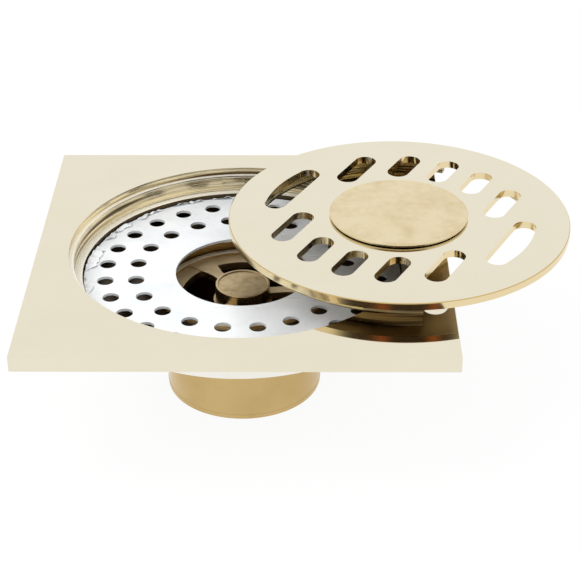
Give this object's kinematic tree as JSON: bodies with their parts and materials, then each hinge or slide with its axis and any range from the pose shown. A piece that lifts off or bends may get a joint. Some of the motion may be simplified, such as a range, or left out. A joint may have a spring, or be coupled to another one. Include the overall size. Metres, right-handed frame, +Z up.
{
  "type": "floor drain grate",
  "caption": "Square floor drain with a lift-off slotted round grate, hose-port cap, perforated strainer, sprung odour trap and round outlet tube.",
  "frame": {"origin": "centre of the outlet tube's lower end", "axes": "+Z up out of the floor, X and Y along the square panel's sides, the loose grate lies towards +X"},
  "size_m": [0.1566, 0.12, 0.0538],
  "materials": {
    "polished": "mirror polished pale brass",
    "satin": "satin brushed brass",
    "turned": "turned brass",
    "steel": "matt stainless sheet",
    "spring": "bright spring wire",
    "rubber": "black rubber"
  },
  "bodies": {
    "drain": {"square_panel": "polished", "well_bowl": "polished", "outlet_tube": "turned"},
    "core": {"core_ring": "turned", "core_sleeve": "turned", "core_o_rings": "rubber", "hub_housing": "turned", "hub_cover": "satin", "stem_bush": "turned", "valve_spring": "spring"},
    "valve": {"stem_head": "turned", "valve_stem": "steel", "valve_gasket": "rubber", "valve_plate": "turned", "valve_washer": "steel", "valve_nut": "turned"},
    "strainer": {"strainer_disc": "steel"},
    "lid": {"lid_plate": "polished", "lid_lugs": "polished", "port_collar": "polished"},
    "cap": {"cap_disc": "satin", "cap_gasket": "rubber", "cap_plug": "turned", "cap_o_ring": "rubber"}
  },
  "joints": [
    {"name": "core_lift", "type": "slide", "parent": "drain", "child": "core", "axis": [0, 0, 1], "range_m": [0, 0.05]},
    {"name": "valve_drop", "type": "slide", "parent": "core", "child": "valve", "axis": [0, 0, -1], "range_m": [0, 0.0045], "stiffness_N_per_m": 80, "springref_m": -0.006, "deforming": ["valve_spring"]},
    {"name": "strainer_lift", "type": "slide", "parent": "core", "child": "strainer", "axis": [0, 0, 1], "range_m": [0, 0.04]},
    {"name": "lid_lift", "type": "slide", "parent": "strainer", "child": "lid", "axis": [0, 0, 1], "range_m": [0, 0.06]},
    {"name": "cap_lift", "type": "slide", "parent": "lid", "child": "cap", "axis": [0, 0, 1], "range_m": [0, 0.025]}
  ]
}
